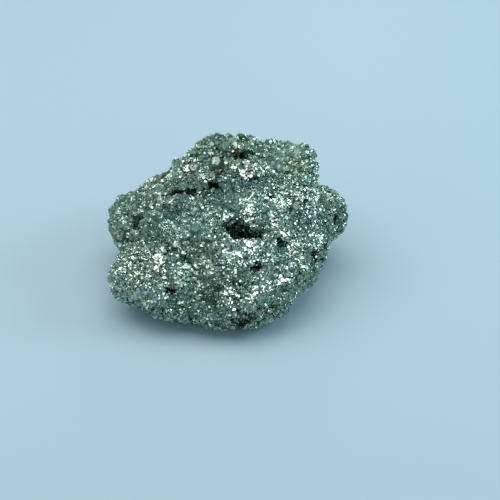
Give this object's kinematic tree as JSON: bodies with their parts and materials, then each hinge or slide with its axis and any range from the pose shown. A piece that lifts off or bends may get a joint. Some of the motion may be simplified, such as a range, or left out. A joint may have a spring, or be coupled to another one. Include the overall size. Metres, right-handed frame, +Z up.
{
  "type": "pyrite cluster",
  "caption": "Hand-sized lump of granular pyrite: small cubic and twelve-faced crystals grown together, with a back ridge, lobes, open vugs and a flat spot below.",
  "frame": {"origin": "on the surface that the cluster rests on, under the middle of its bounding box", "axes": "+Z up, +X along the longest side, and -Y towards the side that the picture shows"},
  "size_m": [0.0508, 0.0408, 0.0247],
  "materials": {
    "pyrite": "satin"
  },
  "bodies": {
    "root": {"pyrite_cluster": "pyrite"}
  },
  "joints": []
}
